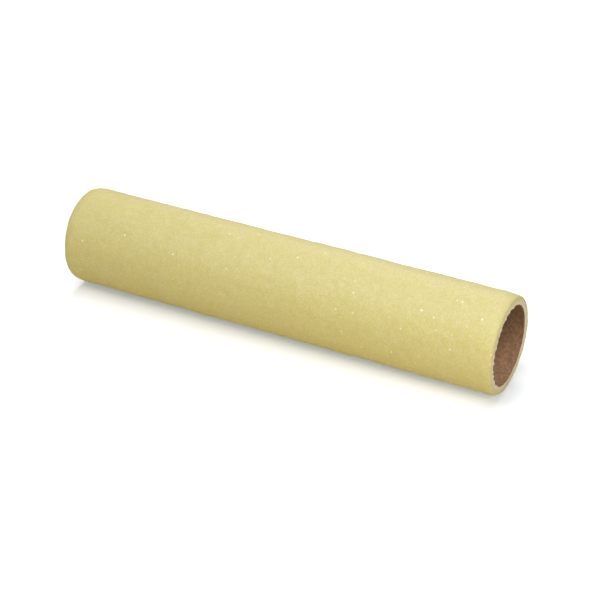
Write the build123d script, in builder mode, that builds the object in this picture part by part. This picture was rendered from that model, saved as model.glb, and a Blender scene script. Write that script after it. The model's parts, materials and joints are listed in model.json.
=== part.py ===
from build123d import *
import os

# A foam paint-roller cover: an open-cell foam sleeve bonded over a spiral-wound
# phenolic paper core. The cover lies along Y and spins about Y on its frame. The
# origin is on the bore's axis, halfway along. All lengths are in millimetres.

# Overall sizes
cover_length = 228.6  # foam end to foam end, 9 in
cover_radius = 24.0  # outside of the foam
bore_radius = 19.05  # inside of the core, for a 1-1/2 in cage

# Core: strips of paper, each wound in a helix with its edges butted
ply_names = ("inner_ply", "middle_ply", "outer_ply")
ply_thickness = 0.5
winding_pitch = 96.0  # advance of a seam in one turn, for strips about 75 mm wide
seam_gap = 0.35  # between neighbouring turns of one strip
seam_phase = 220.0  # turns all three seams about Y, in degrees
core_recess = 0.5  # from the foam's end in to the core's end

# Adhesive film between core and foam
film_thickness = 0.15
film_lap_radius = 19.65  # edge of the film where it turns over the core's ends

# Foam ends: flat faces with an eased shoulder, and a thin lip over the core's ends
end_round_axial = 5.0
end_round_radial = 1.3
lip_radius = 19.5  # the opening that the lip leaves
lip_round = 0.2

core_half = cover_length / 2 - core_recess
core_radius = bore_radius + ply_thickness * len(ply_names)
film_radius = core_radius + film_thickness
film_half = core_half + film_thickness
foam_half = cover_length / 2


def build_ply(index):
    """One spiral-wound strip of the core, with its helical butt seam open."""
    middle = bore_radius + (index + 0.5) * ply_thickness
    seam_half = core_half + winding_pitch / 4  # the seam runs out past both ends
    # Each ply's seam is a third of a turn further on, so that no two line up.
    turn = Rotation(0, seam_phase + 360 * index / len(ply_names), 0)
    seam = turn * Helix(
        winding_pitch, 2 * seam_half, middle, (0, -seam_half, 0), (0, 1, 0)
    )
    across = (seam @ 0) - Vector(0, -seam_half, 0)  # radially out at the seam's start
    with BuildPart() as ply:
        with BuildSketch(Plane.YZ):
            with Locations((0, middle)):
                Rectangle(2 * core_half, ply_thickness)
        revolve(axis=Axis.Y)
        with BuildSketch(Plane(seam @ 0, x_dir=across, z_dir=seam % 0)):
            Rectangle(2 * ply_thickness, seam_gap)
        sweep(path=seam, is_frenet=True, mode=Mode.SUBTRACT)
    return ply.part


def build_film():
    """The adhesive film around the core, turned over both of its ends."""
    with BuildPart() as film:
        with BuildSketch(Plane.YZ):
            with Locations((0, (film_lap_radius + film_radius) / 2)):
                Rectangle(2 * film_half, film_radius - film_lap_radius)
            with Locations((0, (film_lap_radius + core_radius) / 2)):
                Rectangle(2 * core_half, core_radius - film_lap_radius, mode=Mode.SUBTRACT)
        revolve(axis=Axis.Y)
    return film.part


def build_foam():
    """The foam sleeve, with an eased shoulder and an inturned lip at each end."""
    shoulder = foam_half - end_round_axial
    face_radius = cover_radius - end_round_radial
    with BuildPart() as foam:
        with BuildSketch(Plane.YZ):
            with BuildLine():
                EllipticalCenterArc(
                    (shoulder, face_radius), end_round_axial, end_round_radial, arc_size=90
                )
                Line((foam_half, face_radius), (foam_half, lip_radius + lip_round))
                CenterArc(
                    (foam_half - lip_round, lip_radius + lip_round), lip_round, -90, 90
                )
                Polyline(
                    (foam_half - lip_round, lip_radius),
                    (film_half, lip_radius),
                    (film_half, film_radius),
                )
                mirror(about=Plane.YZ)
                Line((-shoulder, cover_radius), (shoulder, cover_radius))
                Line((-film_half, film_radius), (film_half, film_radius))
            make_face()
        revolve(axis=Axis.Y)
    return foam.part


parts = {name: build_ply(index) for index, name in enumerate(ply_names)}
parts["adhesive_film"] = build_film()
parts["foam_sleeve"] = build_foam()

os.makedirs("parts", exist_ok=True)
for name, part in parts.items():
    part.label = name
    export_step(part, f"parts/{name}.step")
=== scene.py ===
import json
import math

import bpy
import numpy as np
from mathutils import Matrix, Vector, noise


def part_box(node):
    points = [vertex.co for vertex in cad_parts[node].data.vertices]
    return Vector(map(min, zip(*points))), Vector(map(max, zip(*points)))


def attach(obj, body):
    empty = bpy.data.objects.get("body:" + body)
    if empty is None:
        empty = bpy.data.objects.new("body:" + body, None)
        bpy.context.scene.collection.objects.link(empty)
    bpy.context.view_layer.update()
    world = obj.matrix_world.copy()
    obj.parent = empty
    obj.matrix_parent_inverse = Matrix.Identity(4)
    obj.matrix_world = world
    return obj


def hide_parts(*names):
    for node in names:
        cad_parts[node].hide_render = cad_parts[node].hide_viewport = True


# A foam paint-roller cover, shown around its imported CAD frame. It lies along Y on
# the floor. All lengths are in metres unless a name says mm.

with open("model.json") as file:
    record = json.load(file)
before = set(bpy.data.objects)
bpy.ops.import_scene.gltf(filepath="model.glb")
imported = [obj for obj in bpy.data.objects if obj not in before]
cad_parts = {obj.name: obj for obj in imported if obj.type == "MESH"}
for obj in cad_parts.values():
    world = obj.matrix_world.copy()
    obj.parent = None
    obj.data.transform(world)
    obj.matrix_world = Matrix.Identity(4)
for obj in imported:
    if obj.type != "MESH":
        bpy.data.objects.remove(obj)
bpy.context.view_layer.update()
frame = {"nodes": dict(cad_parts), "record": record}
MM = 0.001

# Sizes taken from the frame
FOAM_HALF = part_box("foam_sleeve")[1].y
FOAM_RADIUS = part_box("foam_sleeve")[1].z
FILM_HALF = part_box("adhesive_film")[1].y
FILM_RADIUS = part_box("adhesive_film")[1].z
CORE_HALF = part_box("inner_ply")[1].y
BORE_RADIUS = frame["record"]["mounts"][0]["dims"]["r_mm"] * MM
FLOOR_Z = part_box("foam_sleeve")[0].z

# The foam's ends, as in the CAD
END_ROUND_AXIAL = 5.0 * MM
END_ROUND_RADIAL = 1.3 * MM
LIP_RADIUS = 19.5 * MM
LIP_ROUND = 0.2 * MM

# The foam's mesh: a lattice of triangles wrapped round the sleeve
FOAM_COLUMNS = 228
ROW_STEP = 2 * math.pi * FOAM_RADIUS / FOAM_COLUMNS * math.sqrt(3) / 2
HIDDEN_ROWS = 8
VERTEX_JITTER = 0.22  # of the spacing between vertices

# The foam's relief: how high and how wide its features are
LUMP_HEIGHT, LUMP_SIZE = 0.19 * MM, 4.5 * MM
SWELL_HEIGHT, SWELL_SIZE = 0.20 * MM, 13 * MM
GRAIN_HEIGHT = 0.033 * MM
PORE_DEPTH_MM = (0.02, 0.09)  # the shallowest and the deepest
PORE_DRAWS = 4  # how often pores are drawn among the vertices still free
LIP_BAND = 0.8 * MM  # the lip is frayed from its edge out to here
FRAY_HEIGHT, FRAY_SIZE = 0.9 * MM, 1.7 * MM
FRAY_LIMITS = (-0.12 * MM, 0.4 * MM)
FAR_END_SKEW = 0.8 * MM  # how much further the top of the far end reaches
FAR_END_LENGTH = 14 * MM  # how much of the sleeve is drawn out for it
FAR_END_POWER = 1.5  # how fast that fades from the top down

# The core's plies, by the CAD's numbers: each is a strip in a helix. The imported inner ply
# is a closed tube, but the one made here has its seam.
PLY_NAMES = ("inner_ply", "middle_ply", "outer_ply")
PLY_THICKNESS = 0.5 * MM
WINDING_PITCH = 96 * MM
SEAM_GAP = 0.35 * MM
SEAM_ANGLE = math.radians(73.2)  # of the inner ply's seam halfway along, from +X towards +Z
PLY_CELL = {"inner_ply": 1.1 * MM, "middle_ply": 2.5 * MM, "outer_ply": 2.5 * MM}
PLY_CREASE_DEG = 40

# The relief of the bore's wall, and of the plies' ends
WAVE_HEIGHT, WAVE_SIZE = 0.05 * MM, 7 * MM
RIPPLE_HEIGHT, RIPPLE_SIZE = 0.03 * MM, 2.2 * MM
SEAM_LIFT, SEAM_LIFT_WIDTH = 0.06 * MM, 1.0 * MM  # the strip's edges stand into the bore a little
CUT_DEPTH, CUT_SIZE = 0.12 * MM, 1.5 * MM

random = np.random.default_rng(20)


def add_to_scene(name, data):
    """A new object in the scene that holds the data."""
    made = bpy.data.objects.new(name, data)
    bpy.context.scene.collection.objects.link(made)
    return made


# ---------------------------------------------------------------- meshes

def make_piece(name, points, faces):
    """A smooth mesh object in the row frame that rides on the part's only body."""
    mesh = bpy.data.meshes.new(name)
    mesh.from_pydata(points, [], faces)
    mesh.validate()
    mesh.polygons.foreach_set("use_smooth", [True] * len(mesh.polygons))
    mesh.update()
    piece = add_to_scene(name, mesh)
    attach(piece, "root")
    return piece


def noise_at(points, wavelength, shift=0):
    """Smooth noise from about -1 to 1 at each point, with no detail finer than the wavelength.

    A shift, in metres, takes another part of the noise, so that two layers don't line up.
    """
    scaled = (points + shift) / wavelength
    return np.array([noise.noise(p) for p in scaled.tolist()])


def round_the_axis(along, radius, angle):
    """Points in the row frame from how far along the axis, how far from it and at what angle."""
    return np.stack([radius * np.cos(angle), along, radius * np.sin(angle)], axis=-1)


def sample_line(start, end, step):
    """Points of (y, r) from start up to, but not at, end."""
    start, end = np.array(start), np.array(end)
    count = max(1, round(np.linalg.norm(end - start) / step))
    return [start + (end - start) * i / count for i in range(count)]


def sample_arc(centre, half_axes, from_deg, to_deg, step):
    """Points of (y, r) along an ellipse's arc, up to but not at its end."""
    fine = np.radians(np.linspace(from_deg, to_deg, 200))
    curve = np.array(centre) + np.array(half_axes) * np.column_stack([np.cos(fine), np.sin(fine)])
    run = np.concatenate([[0], np.cumsum(np.linalg.norm(np.diff(curve, axis=0), axis=1))])
    count = max(1, round(run[-1] / step))
    at = np.arange(count) * run[-1] / count
    return list(np.column_stack([np.interp(at, run, curve[:, i]) for i in (0, 1)]))


def foam_section():
    """The sleeve's closed section as (y, r) points, and how open to view each is, from 0 to 1."""
    shoulder = FOAM_HALF - END_ROUND_AXIAL
    face_radius = FOAM_RADIUS - END_ROUND_RADIAL
    lip_y, lip_r = FOAM_HALF - LIP_ROUND, LIP_RADIUS + LIP_ROUND
    end = sample_arc((shoulder, face_radius), (END_ROUND_AXIAL, END_ROUND_RADIAL), 90, 0, ROW_STEP)
    end += sample_line((FOAM_HALF, face_radius), (FOAM_HALF, lip_r), ROW_STEP)
    end += sample_arc((lip_y, lip_r), (LIP_ROUND, LIP_ROUND), 0, -90, LIP_ROUND)
    end += sample_line((lip_y, LIP_RADIUS), (FILM_HALF, LIP_RADIUS), LIP_ROUND)
    outside = sample_line((-shoulder, FOAM_RADIUS), (shoulder, FOAM_RADIUS), ROW_STEP)
    hidden = sample_line((FILM_HALF, LIP_RADIUS), (FILM_HALF, FILM_RADIUS), ROW_STEP)
    inside_rows = HIDDEN_ROWS + len(outside) % 2  # the lattice needs an even number of rows
    inside = sample_line((FILM_HALF, FILM_RADIUS), (-FILM_HALF, FILM_RADIUS), 2 * FILM_HALF / inside_rows)
    corner = [np.array((-FILM_HALF, FILM_RADIUS))]
    # The outside already starts with the mirror image of the end's first point.
    mirrored = [point * (-1, 1) for point in reversed(end[1:] + hidden)]
    section = outside + end + hidden + inside + corner + mirrored
    out_of_view = 2 * len(hidden) + len(inside) + len(corner)
    shown = [1.0] * (len(outside) + len(end)) + [0.0] * out_of_view + [1.0] * (len(end) - 1)
    return np.array(section), np.array(shown)


def neighbours(values):
    """The six neighbours' values of each vertex in a staggered lattice of rows by columns."""
    odd = (np.arange(len(values)) % 2 == 1)[:, None]
    found = [np.roll(values, 1, axis=1), np.roll(values, -1, axis=1)]
    for shift in (1, -1):
        row = np.roll(values, shift, axis=0)
        found += [row, np.where(odd, np.roll(row, -1, axis=1), np.roll(row, 1, axis=1))]
    return found


def lattice_faces(rows, columns):
    """The triangles of a staggered lattice that closes on itself both ways."""
    index = np.arange(rows * columns).reshape(rows, columns)
    above = np.roll(index, -1, axis=0)
    right, above_right = np.roll(index, -1, axis=1), np.roll(above, -1, axis=1)
    faces = []
    for row in range(rows):
        a, b, c, d = index[row], right[row], above[row], above_right[row]
        if row % 2 == 0:
            faces += [np.column_stack([a, c, b]), np.column_stack([b, c, d])]
        else:
            faces += [np.column_stack([a, c, d]), np.column_stack([a, d, b])]
    return np.concatenate(faces)


def scattered_pores(shape):
    """A random set of vertices with no two side by side, which become the foam's larger pores."""
    pore = np.zeros(shape, bool)
    for _ in range(PORE_DRAWS):
        free = ~pore & ~np.any(neighbours(pore), axis=0)
        draw = np.where(free, random.random(shape), -1)
        pore |= free & (draw > np.max(neighbours(draw), axis=0))
    return pore


def foam_relief(points, radius):
    """How far out each vertex moves: for lumps, grain and pores, and at the lip for its frayed edge."""
    shape = radius.shape
    lumps = LUMP_HEIGHT * noise_at(points, LUMP_SIZE)
    lumps += SWELL_HEIGHT * noise_at(points, SWELL_SIZE, shift=1)
    height = lumps.reshape(shape) + GRAIN_HEIGHT * random.uniform(-1, 1, shape)
    pore_depth = random.uniform(*PORE_DEPTH_MM, shape) * MM
    height -= scattered_pores(shape) * pore_depth
    at_lip = np.clip(1 - (radius - LIP_RADIUS) / LIP_BAND, 0, 1)
    fray = FRAY_HEIGHT * noise_at(points, FRAY_SIZE, shift=2).reshape(shape)
    return height * (1 - at_lip) + np.clip(fray, *FRAY_LIMITS) * at_lip


def draw_out_far_end(points):
    """Moves the top of the far end outwards, as in the photo, by less and less towards the middle."""
    far = np.clip((-points[:, 1] - FOAM_HALF + FAR_END_LENGTH) / FAR_END_LENGTH, 0, 1)
    points[:, 1] -= far * FAR_END_SKEW * np.clip(points[:, 2] / FOAM_RADIUS, 0, 1) ** FAR_END_POWER


def build_foam():
    """The foam sleeve: its lumps, pores and frayed lip are in the mesh."""
    section, shown = foam_section()
    rows, columns = len(section), FOAM_COLUMNS
    shape = (rows, columns)
    tangent = np.roll(section, -1, axis=0) - np.roll(section, 1, axis=0)
    tangent /= np.linalg.norm(tangent, axis=1)[:, None]
    normal = np.column_stack([-tangent[:, 1], tangent[:, 0]])
    spacing = np.linalg.norm(np.roll(section, -1, axis=0) - section, axis=1)
    spacing = np.minimum(spacing, np.roll(spacing, 1)) * shown

    stagger = 0.5 * (np.arange(rows) % 2)[:, None]
    jitter = random.uniform(-1, 1, shape) * VERTEX_JITTER * shown[:, None]
    angle = (np.arange(columns)[None, :] + stagger + jitter) * 2 * math.pi / columns
    slide = random.uniform(-1, 1, shape) * VERTEX_JITTER * spacing[:, None]
    smooth = section[:, None, :] + slide[:, :, None] * tangent[:, None, :]

    points = round_the_axis(smooth[..., 0], smooth[..., 1], angle).reshape(-1, 3)
    height = foam_relief(points, smooth[..., 1]) * shown[:, None]
    moved = smooth + height[:, :, None] * normal[:, None, :]
    points = round_the_axis(moved[..., 0], moved[..., 1], angle).reshape(-1, 3)
    draw_out_far_end(points)
    foam = make_piece("foam_sleeve_surface", points, lattice_faces(rows, columns).tolist())
    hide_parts("foam_sleeve")
    return foam


def strip_faces(ring, columns):
    """Quads round a strip: along its two faces and its two edges, then across its two ends."""
    index_of = np.arange(ring.shape[0] * ring.shape[1]).reshape(ring.shape[:2])
    beside = np.roll(index_of, -1, axis=1)
    sides = np.stack([index_of[:-1], beside[:-1], beside[1:], index_of[1:]], axis=-1).reshape(-1, 4)
    faces = sides.tolist()
    for row, order in ((0, -1), (-1, 1)):
        edge, far_edge = index_of[row, :columns], index_of[row, columns:][::-1]
        cap = np.stack([edge[:-1], edge[1:], far_edge[1:], far_edge[:-1]], axis=-1)
        faces += cap[:, ::order].tolist()
    return faces


def bore_wall(face, from_edge):
    """The radius of the bore's wall at each point: a little wavy, and standing in along the seam."""
    points = face.reshape(-1, 3)
    waves = WAVE_HEIGHT * noise_at(points, WAVE_SIZE)
    waves += RIPPLE_HEIGHT * noise_at(points, RIPPLE_SIZE, shift=1)
    return BORE_RADIUS + waves.reshape(face.shape[:2]) - SEAM_LIFT * np.exp(-from_edge / SEAM_LIFT_WIDTH)


def build_ply(index):
    """One strip of the core's paper, wound in a helix with its butt seam a little open."""
    name = PLY_NAMES[index]
    inner = BORE_RADIUS + index * PLY_THICKNESS
    outer = inner + PLY_THICKNESS
    slope = WINDING_PITCH / math.hypot(WINDING_PITCH, 2 * math.pi * inner)
    half_gap = SEAM_GAP / slope / inner / 2
    columns = round(2 * math.pi * inner / PLY_CELL[name]) + 1
    rows = round(2 * CORE_HALF / PLY_CELL[name]) + 1
    turn = np.linspace(half_gap, 2 * math.pi - half_gap, columns)[None, :]
    y = np.linspace(-CORE_HALF, CORE_HALF, rows)[:, None]
    angle = SEAM_ANGLE - 2 * math.pi * (index / len(PLY_NAMES) + y / WINDING_PITCH) + turn
    along = y + 0 * angle

    face = round_the_axis(along, inner, angle)
    back = round_the_axis(along, outer, angle)
    if index == 0:
        from_edge = np.minimum(turn - half_gap, 2 * math.pi - half_gap - turn) * inner
        face = round_the_axis(along, bore_wall(face, from_edge), angle)
    for surface in (face, back):
        ragged = CUT_DEPTH * np.abs(noise_at(surface[0], CUT_SIZE))
        surface[0, :, 1] += ragged
        surface[-1, :, 1] -= ragged[::-1]
    ring = np.concatenate([face, back[:, ::-1]], axis=1)
    ply = make_piece(f"{name}_paper", ring.reshape(-1, 3), strip_faces(ring, columns))
    ply.data.set_sharp_from_angle(angle=math.radians(PLY_CREASE_DEG))
    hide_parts(name)
    return ply


# ---------------------------------------------------------------- materials

def rgb(red, green, blue):
    """A colour socket's value."""
    return (red, green, blue, 1.0)


FOAM_DEEP = rgb(0.75, 0.642, 0.218)
FOAM_PALE = rgb(0.767, 0.665, 0.24)
FOAM_CREAM = rgb(0.782, 0.664, 0.267)
# Painted shade: the colour that darkens the middle of each pore, as shade in the holes
FOAM_PAINTED_PORE_SHADE = rgb(0.905, 0.895, 0.845)
# Paler than the foam, and partly painted light: lightened further to stand in for light the end face does not
# get
FOAM_PALE_RIM_AND_PAINTED_LIGHT = rgb(0.93, 0.81, 0.565)
# Painted glint: the paler colour that the glinting cell windows are painted
FOAM_WINDOW_PAINTED_GLINT = rgb(0.98, 0.93, 0.62)
FOAM_ROUGHNESS, WINDOW_ROUGHNESS = 0.6, 0.3
FOAM_MM = {"cell": 0.95, "blotch": 9.0, "cream": 3.2, "rim_edge": 1.5, "grain": 0.3,
           "window_cell": 1.1, "window_edge": 0.35}
RIM_RADII_MM = (23.4, 20.2)  # the foam turns to the rim's colour between these
RIM_UNEVEN_MM = 0.5
GRAIN_SHARE = 0.6  # how much the grain stands out against the struts
WINDOW_DRAW = 0.984  # only the cells that draw more than this hold a window
WINDOW_REACH = (0.7, 0.98)  # of the smallest and the largest window
WINDOW_RAGGED = 0.9
WINDOW_TILT = (0.35, 0.35, 0.35)

PAPER_DARK = rgb(0.205, 0.122, 0.072)
PAPER_LIGHT = rgb(0.40, 0.225, 0.118)
PAPER_FIBRE = rgb(0.16, 0.085, 0.05)
PAPER_CLOUD = rgb(0.24, 0.13, 0.07)
PAPER_MM = {"mottle": 1.6, "cloud": 11.0, "streak": 0.55, "fibre": 0.2}
FIBRE_STRETCH = (1.0, 0.16, 1.0)

ADHESIVE_DARK = rgb(0.55, 0.36, 0.12)
ADHESIVE_LIGHT = rgb(0.66, 0.48, 0.20)
ADHESIVE_CLOUD_MM = 3.0


class Shading:
    """A node material with a Principled shader, and short calls to add to it."""

    def __init__(self, name, **uniform):
        self.material = bpy.data.materials.new(name)
        self.material.use_nodes = True
        self.nodes = self.material.node_tree.nodes
        self.links = self.material.node_tree.links
        self.surface = self.nodes["Principled BSDF"]
        for socket, value in uniform.items():
            self.surface.inputs[socket.replace("_", " ")].default_value = value

    def add(self, kind, inputs=None, **settings):
        """A node with its settings, whose inputs are each a number, a colour or another node's output."""
        made = self.nodes.new("ShaderNode" + kind)
        for setting, value in settings.items():
            setattr(made, setting, value)
        for key, value in (inputs or {}).items():
            if isinstance(value, bpy.types.NodeSocket):
                self.links.new(value, made.inputs[key])
            else:
                made.inputs[key].default_value = value
        return made

    def millimetres(self):
        """The place in the row frame, in millimetres."""
        place = self.add("TexCoord").outputs["Object"]
        return self.add("VectorMath", {0: place, "Scale": 1000}, operation="SCALE").outputs["Vector"]

    def noise(self, place, size_mm, detail=2.0):
        """Noise from 0 to 1, mostly near 0.5, whose largest features are of that size."""
        return self.add("TexNoise", {"Vector": place, "Scale": 1 / size_mm, "Detail": detail}).outputs["Fac"]

    def cells(self, place, size_mm):
        """A Voronoi node whose cells are about that size."""
        return self.add("TexVoronoi", {"Vector": place, "Scale": 1 / size_mm}, feature="F1")

    def remap(self, value, low, high, to_low=0.0, to_high=1.0):
        """The value moved from one range to another, and kept inside it."""
        return self.add("MapRange", {"Value": value, "From Min": low, "From Max": high,
                                     "To Min": to_low, "To Max": to_high}).outputs["Result"]

    def math(self, operation, *values):
        return self.add("Math", dict(enumerate(values)), operation=operation).outputs[0]

    def vector(self, operation, *values):
        return self.add("VectorMath", dict(enumerate(values)), operation=operation).outputs["Vector"]

    def mix(self, factor, a, b, blend="MIX"):
        """A mix of two colours."""
        return self.add("Mix", {0: factor, 6: a, 7: b}, data_type="RGBA", blend_type=blend).outputs[2]

    def mix_vectors(self, factor, a, b):
        return self.add("Mix", {0: factor, 4: a, 5: b}, data_type="VECTOR").outputs[1]

    def bump(self, height, strength, distance_mm):
        made = self.add("Bump", {"Height": height, "Strength": strength, "Distance": distance_mm * MM})
        return made.outputs["Normal"]

    def connect(self, **sockets):
        """Links outputs to the Principled shader's sockets."""
        for socket, value in sockets.items():
            self.links.new(value, self.surface.inputs[socket.replace("_", " ")])


def foam_material():
    """Pale yellow open-cell foam: fine pores with painted shade between pale struts, and a few glossy cell
    windows with a painted glint.
    """
    s = Shading("open_cell_foam", Specular_IOR_Level=1.0)
    place = s.millimetres()
    strut = s.remap(s.cells(place, FOAM_MM["cell"]).outputs["Distance"], 0.15, 0.75)
    tone = s.mix(s.remap(s.noise(place, FOAM_MM["blotch"]), 0.3, 0.7), FOAM_DEEP, FOAM_PALE)
    tone = s.mix(s.remap(s.noise(place, FOAM_MM["cream"]), 0.40, 0.66), tone, FOAM_CREAM)
    # Painted shade: the middle of each cell is darkened, as shade in the pore between the struts.
    colour = s.mix(strut, s.mix(1.0, tone, FOAM_PAINTED_PORE_SHADE, "MULTIPLY"), tone)

    # Towards the lip the foam turns to the rim's colour: paler foam, and partly painted light on the end
    # face.
    across = s.add("SeparateXYZ", {"Vector": place})
    from_axis = s.math("POWER", s.math("ADD", s.math("POWER", across.outputs["X"], 2.0),
                                       s.math("POWER", across.outputs["Z"], 2.0)), 0.5)
    drift = s.remap(s.noise(place, FOAM_MM["rim_edge"]), 0.3, 0.7, -RIM_UNEVEN_MM, RIM_UNEVEN_MM)
    colour = s.mix(s.remap(s.math("ADD", from_axis, drift), *RIM_RADII_MM), colour, FOAM_PALE_RIM_AND_PAINTED_LIGHT)

    # Each window is a facet: glossier than the foam, tilted, and with a ragged outline, and painted paler as
    # a painted glint.
    windows = s.cells(place, FOAM_MM["window_cell"])
    draw = s.add("SeparateColor", {"Color": windows.outputs["Color"]})
    chosen = s.math("GREATER_THAN", draw.outputs["Red"], WINDOW_DRAW)
    edge = s.math("MULTIPLY", s.noise(place, FOAM_MM["window_edge"]), WINDOW_RAGGED)
    ragged = s.math("ADD", windows.outputs["Distance"], edge)
    inside = s.math("LESS_THAN", ragged, s.remap(draw.outputs["Blue"], 0.0, 1.0, *WINDOW_REACH))
    glint_window = s.math("MULTIPLY", chosen, inside)
    colour = s.mix(s.math("MULTIPLY", glint_window, draw.outputs["Green"]), colour, FOAM_WINDOW_PAINTED_GLINT)
    tilt = s.vector("SUBTRACT", windows.outputs["Color"], (0.5, 0.5, 0.5))
    plain = s.add("NewGeometry").outputs["Normal"]
    facet = s.vector("NORMALIZE", s.vector("MULTIPLY_ADD", tilt, WINDOW_TILT, plain))

    grain = s.math("ADD", strut, s.math("MULTIPLY", s.noise(place, FOAM_MM["grain"]), GRAIN_SHARE))
    normal = s.mix_vectors(glint_window, s.bump(grain, strength=0.22, distance_mm=0.12), facet)
    rough = s.remap(glint_window, 0.0, 1.0, FOAM_ROUGHNESS, WINDOW_ROUGHNESS)
    s.connect(Base_Color=colour, Roughness=rough, Normal=normal)
    return s.material


def paper_material():
    """Brown resin-soaked kraft paper, mottled, with fibres that run along the wound strips."""
    s = Shading("resin_paper", Specular_IOR_Level=0.1)
    place = s.millimetres()
    along = s.add("SeparateXYZ", {"Vector": place}).outputs["Y"]
    untwist = s.math("MULTIPLY", along, 2 * math.pi * MM / WINDING_PITCH)
    strip = s.add("VectorRotate", {"Vector": place, "Angle": untwist}, rotation_type="Y_AXIS")
    fibres = s.vector("MULTIPLY", strip.outputs["Vector"], FIBRE_STRETCH)
    mottle = s.noise(place, PAPER_MM["mottle"], detail=4.0)
    cloud = s.noise(place, PAPER_MM["cloud"])
    streak = s.noise(fibres, PAPER_MM["streak"], detail=3.0)
    colour = s.mix(s.remap(mottle, 0.35, 0.65), PAPER_DARK, PAPER_LIGHT)
    colour = s.mix(s.remap(streak, 0.35, 0.65, 0.45, 0.0), colour, PAPER_FIBRE)
    colour = s.mix(s.remap(cloud, 0.3, 0.7, 0.0, 0.3), colour, PAPER_CLOUD)
    bump = s.bump(s.noise(fibres, PAPER_MM["fibre"]), strength=0.3, distance_mm=0.08)
    s.connect(Base_Color=colour, Roughness=s.remap(mottle, 0.3, 0.7, 0.6, 0.8), Normal=bump)
    return s.material


def adhesive_material():
    """Amber contact adhesive."""
    s = Shading("amber_adhesive", Specular_IOR_Level=0.5)
    cloud = s.noise(s.millimetres(), ADHESIVE_CLOUD_MM)
    colour = s.mix(s.remap(cloud, 0.3, 0.7), ADHESIVE_DARK, ADHESIVE_LIGHT)
    s.connect(Base_Color=colour, Roughness=s.remap(cloud, 0.3, 0.7, 0.3, 0.45))
    return s.material


def coat(piece, material):
    """Gives the piece that material alone."""
    piece.data.materials.clear()
    piece.data.materials.append(material)


# ---------------------------------------------------------------- camera, light and floor

# The camera's place round the cover, and how far its aim is from the origin
CAMERA_AZIMUTH = 117.47
CAMERA_ELEVATION = 31.4
CAMERA_DISTANCE = 0.859
CAMERA_LENS = 106.6
AIM_RIGHT = 5.4 * MM
AIM_DOWN = 6.5 * MM

# Light: azimuth, elevation, distance, size and watts of each softbox
SOFTBOXES = {
    "key_softbox": (142.0, 25, 0.45, 0.25, 0.6),
    "top_softbox": (0.0, 90, 0.9, 0.45, 2.7),
    "back_softbox": (284.0, 35, 0.9, 0.45, 2.74),
    "front_softbox": (80.0, 60, 0.9, 0.45, 3.05),
}
LAMP_COLOUR = (0.93, 0.955, 1.0)
# Two lamps reach into each end of the bore: azimuth, elevation and watts
BORE_LAMPS = {
    "near_bore_lamp": (160.0, 66, 20.0),
    "far_bore_lamp": (20.0, 66, 20.0),
    "near_axis_lamp": (180.0, 20, 8.0),
    "far_axis_lamp": (0.0, 20, 8.0),
}
BORE_LAMP_DISTANCE = 0.9
BORE_LAMP_BEAM_DEG = 40.0
BORE_LAMP_RADIUS = 0.22
WORLD_LIGHT = 0.15
FLOOR_SIDE = 1.6
FLOOR_COLOUR = rgb(0.80, 0.74, 0.55)  # to the light that it bounces onto the cover
FLOOR_SEEN = rgb(1.075, 1.047, 1.0)  # to the camera, so that the floor runs into the background
FLOOR_LIFT = rgb(0.218, 0.255, 0.29)
FLOOR_FADE_MM = (170.0, 330.0)  # it fades to white between these distances from the origin
BLACK = rgb(0.0, 0.0, 0.0)
WHITE = rgb(1.0, 1.0, 1.0)


def directions(azimuth, elevation):
    """Towards the viewer, to the viewer's right and up, for a view from that azimuth and elevation."""
    a, e = math.radians(azimuth), math.radians(elevation)
    back = Vector((math.sin(a) * math.cos(e), -math.cos(a) * math.cos(e), math.sin(e)))
    right = Vector((math.cos(a), math.sin(a), 0))
    return back, right, back.cross(right)


def stand_at(thing, location, back):
    """Puts a camera or lamp at a place, with back pointing out behind it."""
    thing.location = location
    thing.rotation_euler = back.to_track_quat("Z", "Y").to_euler()


def add_camera():
    back, right, up = directions(CAMERA_AZIMUTH, CAMERA_ELEVATION)
    data = bpy.data.cameras.new("camera")
    data.lens = CAMERA_LENS
    camera = add_to_scene("camera", data)
    stand_at(camera, back * CAMERA_DISTANCE + right * AIM_RIGHT - up * AIM_DOWN, back)
    bpy.context.scene.camera = camera


def add_softbox(name, azimuth, elevation, distance, size, watts):
    """A square area lamp that faces the cover."""
    back = directions(azimuth, elevation)[0]
    data = bpy.data.lights.new(name, "AREA")
    data.size = size
    data.energy = watts
    data.color = LAMP_COLOUR
    stand_at(add_to_scene(name, data), back * distance, back)


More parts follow.
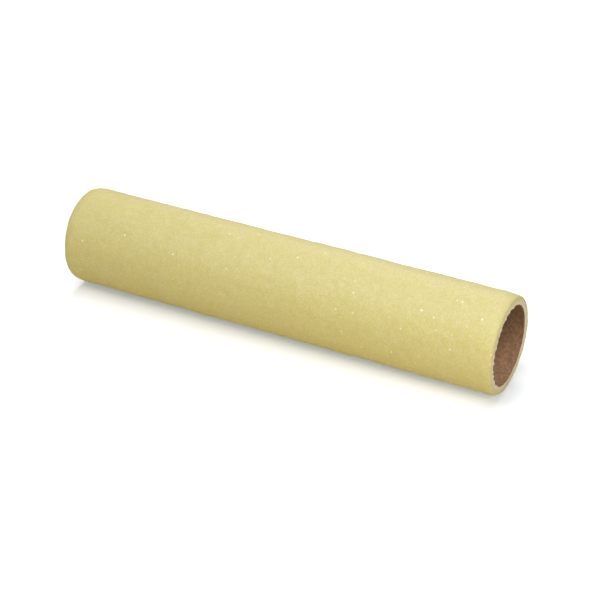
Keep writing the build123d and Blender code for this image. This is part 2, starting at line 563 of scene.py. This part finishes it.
def add_bore_lamp(lit, name, azimuth, elevation, watts):
    """A soft spot lamp on the opening that faces it, which lights one piece alone."""
    back = directions(azimuth, elevation)[0]
    data = bpy.data.lights.new(name, "SPOT")
    data.spot_size = math.radians(BORE_LAMP_BEAM_DEG)
    data.shadow_soft_size = BORE_LAMP_RADIUS
    data.energy = watts
    lamp = add_to_scene(name, data)
    opening = Vector((0, math.copysign(FOAM_HALF, back.y), 0))
    stand_at(lamp, opening + back * BORE_LAMP_DISTANCE, back)
    lamp.light_linking.receiver_collection = bpy.data.collections.new(f"lit_by_{name}")
    lamp.light_linking.receiver_collection.objects.link(lit)


def floor_material():
    """White to the camera, so that it runs into the background, and cream to the light it bounces."""
    s = Shading("white_floor", Roughness=0.9, Specular_IOR_Level=0.0, Emission_Strength=1.0)
    seen = s.add("LightPath").outputs["Is Camera Ray"]
    far = s.add("VectorMath", {0: s.millimetres()}, operation="LENGTH").outputs["Value"]
    lift = s.mix(s.remap(far, *FLOOR_FADE_MM), FLOOR_LIFT, WHITE)
    s.connect(Base_Color=s.mix(seen, FLOOR_COLOUR, FLOOR_SEEN), Emission_Color=s.mix(seen, BLACK, lift))
    return s.material


def add_floor():
    half = FLOOR_SIDE / 2
    corners = [(-half, -half, FLOOR_Z), (half, -half, FLOOR_Z), (half, half, FLOOR_Z), (-half, half, FLOOR_Z)]
    mesh = bpy.data.meshes.new("floor")
    mesh.from_pydata(corners, [], [(0, 1, 2, 3)])
    floor = add_to_scene("floor", mesh)
    coat(floor, floor_material())


def add_world():
    """A background that the camera sees as white, and that lights the scene a little."""
    world = bpy.data.worlds.new("studio")
    world.use_nodes = True
    nodes, links = world.node_tree.nodes, world.node_tree.links
    seen = nodes.new("ShaderNodeLightPath").outputs["Is Camera Ray"]
    strength = nodes.new("ShaderNodeMapRange")
    strength.inputs["To Min"].default_value = WORLD_LIGHT
    links.new(seen, strength.inputs["Value"])
    nodes["Background"].inputs["Color"].default_value = WHITE
    links.new(strength.outputs["Result"], nodes["Background"].inputs["Strength"])
    bpy.context.scene.world = world


def add_studio():
    """Soft lamps over a white floor that runs into a white background."""
    add_world()
    for name, lamp in SOFTBOXES.items():
        add_softbox(name, *lamp)
    add_floor()
    bpy.context.scene.view_settings.view_transform = "Standard"


add_camera()
add_studio()
coat(build_foam(), foam_material())
paper = paper_material()
plies = [build_ply(ply_index) for ply_index in range(len(PLY_NAMES))]
for ply in plies:
    coat(ply, paper)
for lamp_name, lamp in BORE_LAMPS.items():
    add_bore_lamp(plies[0], lamp_name, *lamp)
coat(frame["nodes"]["adhesive_film"], adhesive_material())
